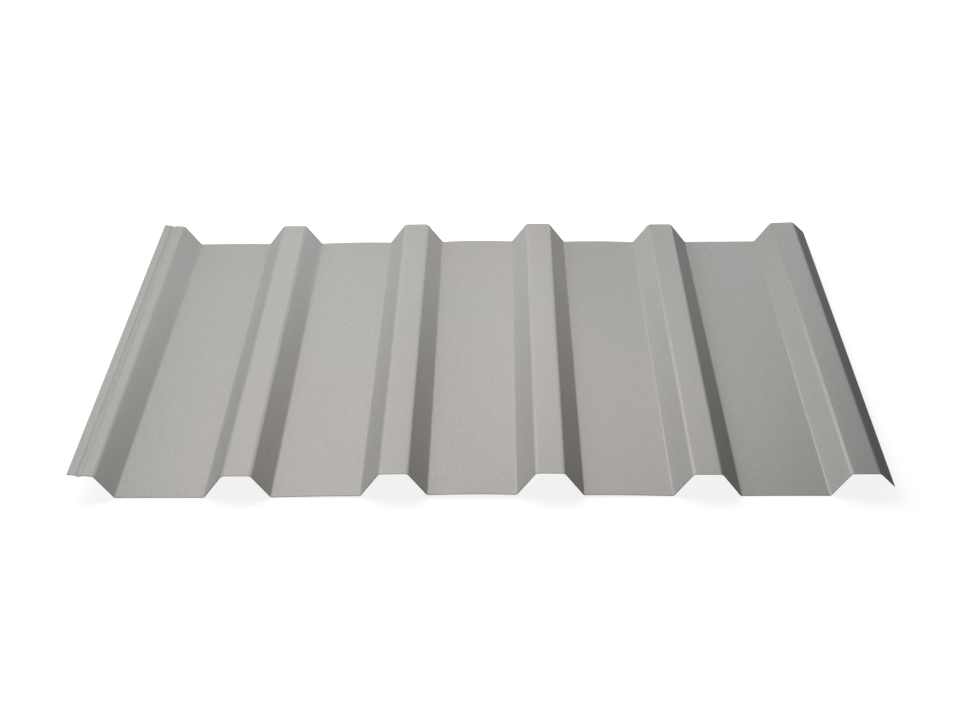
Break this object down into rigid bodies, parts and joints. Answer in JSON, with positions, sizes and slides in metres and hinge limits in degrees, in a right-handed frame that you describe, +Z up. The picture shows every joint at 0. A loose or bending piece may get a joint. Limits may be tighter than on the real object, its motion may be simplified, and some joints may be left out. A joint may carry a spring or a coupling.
{
  "type": "trapezoidal corrugated metal sheet",
  "caption": "Roll-formed roofing and cladding sheet of coated steel with trapezoidal ribs, a grooved underlap crown along one side and a short overlap leg along the other.",
  "frame": {"origin": "middle of the sheet's bounding box at floor level, where the undersides of the pans rest", "axes": "+X runs across the ribs from the underlap crown to the overlap leg, +Y along the ribs, +Z up through the crowns"},
  "size_m": [1.089, 0.8, 0.037],
  "materials": {
    "coil_coated_steel": "satin silver-grey coil coating with a fine speckle"
  },
  "bodies": {
    "root": {"profiled_sheet": "coil_coated_steel"}
  },
  "joints": []
}
